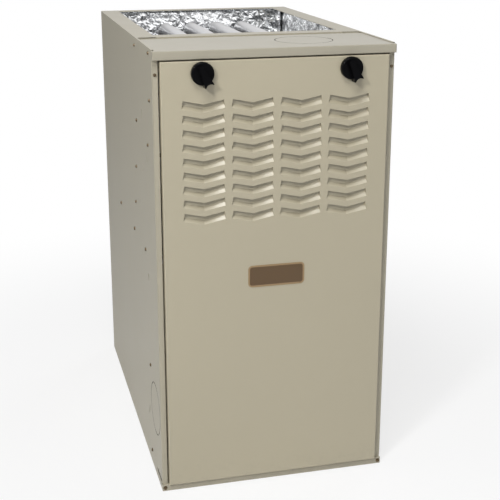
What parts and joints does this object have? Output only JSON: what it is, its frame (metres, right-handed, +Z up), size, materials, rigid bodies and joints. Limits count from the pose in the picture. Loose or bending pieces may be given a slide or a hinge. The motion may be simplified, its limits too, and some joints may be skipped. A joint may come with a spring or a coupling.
{
  "type": "forced air gas furnace",
  "caption": "Upright forced air gas furnace in a sheet-metal cabinet with a louvred, knob-latched door, top outlet, burners, exchanger cells, draft inducer and blower.",
  "frame": {"origin": "on the floor under the middle of the furnace's box, knobs included", "axes": "+Z up, -Y out of the door, +X to the right of someone facing the door"},
  "size_m": [0.4496, 0.754, 0.846],
  "materials": {
    "painted_beige": "satin baked enamel",
    "painted_top": "satin baked enamel",
    "galvanized_steel": "spangled zinc",
    "aluminized_steel": "smooth",
    "foil": "crumpled foil",
    "black_plastic": "gloss",
    "matte_black": "matte",
    "black_paint": "satin",
    "zinc_steel": "zinc plated",
    "bronze_screw": "yellow zinc",
    "brass": "machined",
    "valve_aluminium": "cast",
    "red_plastic": "matte",
    "board_green": "solder mask",
    "ceramic_white": "glazed ceramic",
    "badge_brown": "satin",
    "filter_media": "spun fibre",
    "cable_black": "matte"
  },
  "bodies": {
    "cabinet": {"casing_wrap": "painted_beige", "top_cap": "painted_top", "outlet_front_rail": "painted_beige", "cell_panel": "galvanized_steel", "blower_deck": "galvanized_steel", "base_rail": "painted_beige", "foil_liner_left": "foil", "foil_liner_right": "foil", "foil_liner_back": "foil", "exchanger_cell_1": "aluminized_steel", "exchanger_cell_2": "aluminized_steel", "exchanger_cell_3": "aluminized_steel", "exchanger_cell_4": "aluminized_steel", "collector_box": "aluminized_steel", "inducer_housing": "galvanized_steel", "inducer_motor": "black_paint", "vent_collar": "aluminized_steel", "gas_manifold": "black_paint", "gas_orifices": "brass", "gas_valve": "valve_aluminium", "burner_1": "aluminized_steel", "burner_2": "aluminized_steel", "burner_3": "aluminized_steel", "burner_4": "aluminized_steel", "burner_rack": "galvanized_steel", "igniter": "ceramic_white", "flame_sensor": "ceramic_white", "rollout_switches": "matte_black", "limit_switch": "matte_black", "pressure_switch": "matte_black", "blower_housing": "galvanized_steel", "blower_motor": "black_paint", "motor_mount": "galvanized_steel", "run_capacitor": "zinc_steel", "control_bracket": "galvanized_steel", "control_board": "board_green", "transformer": "black_paint", "door_switch": "matte_black", "junction_box": "galvanized_steel", "wiring_harness": "cable_black", "blower_door": "painted_beige", "casing_screws": "bronze_screw", "return_filter": "filter_media", "filter_retainer": "zinc_steel"},
    "door": {"door_panel": "painted_beige", "badge_plate": "badge_brown"},
    "left_knob": {"left_latch_knob": "black_plastic", "left_latch_cam": "zinc_steel"},
    "right_knob": {"right_latch_knob": "black_plastic", "right_latch_cam": "zinc_steel"},
    "blower_rotor": {"blower_wheel": "galvanized_steel", "blower_shaft": "zinc_steel"},
    "inducer_rotor": {"inducer_wheel": "zinc_steel", "inducer_shaft": "zinc_steel", "inducer_cooling_fan": "matte_black"},
    "gas_knob": {"gas_valve_knob": "matte_black"},
    "switch_plunger": {"door_switch_plunger": "red_plastic"},
    "reset_button": {"rollout_reset_button": "red_plastic"}
  },
  "joints": [
    {"name": "door_tilt", "type": "hinge", "parent": "cabinet", "child": "door", "pos_m": [0, -0.357, 0.0136], "axis": [1, 0, 0], "range_deg": [0, 30]},
    {"name": "left_knob_turn", "type": "hinge", "parent": "door", "child": "left_knob", "pos_m": [-0.136, -0.367, 0.8045], "axis": [0, -1, 0], "range_deg": [0, 90]},
    {"name": "right_knob_turn", "type": "hinge", "parent": "door", "child": "right_knob", "pos_m": [0.136, -0.367, 0.8045], "axis": [0, -1, 0], "range_deg": [0, 90]},
    {"name": "blower_spin", "type": "hinge", "parent": "cabinet", "child": "blower_rotor", "pos_m": [0, 0.058, 0.226], "axis": [1, 0, 0], "continuous": true},
    {"name": "inducer_spin", "type": "hinge", "parent": "cabinet", "child": "inducer_rotor", "pos_m": [0.006, -0.247, 0.70512], "axis": [0, 1, 0], "continuous": true},
    {"name": "gas_valve_knob_turn", "type": "hinge", "parent": "cabinet", "child": "gas_knob", "pos_m": [0.1655, -0.331, 0.547], "axis": [0, -1, 0], "range_deg": [0, 90]},
    {"name": "door_switch_press", "type": "slide", "parent": "cabinet", "child": "switch_plunger", "axis": [0, 1, 0], "range_m": [0, 0.002], "stiffness_N_per_m": 300, "springref_m": -0.004},
    {"name": "rollout_reset_travel", "type": "slide", "parent": "cabinet", "child": "reset_button", "axis": [0, 0, -1], "range_m": [0, 0.0015], "stiffness_N_per_m": 300, "springref_m": -0.002}
  ]
}
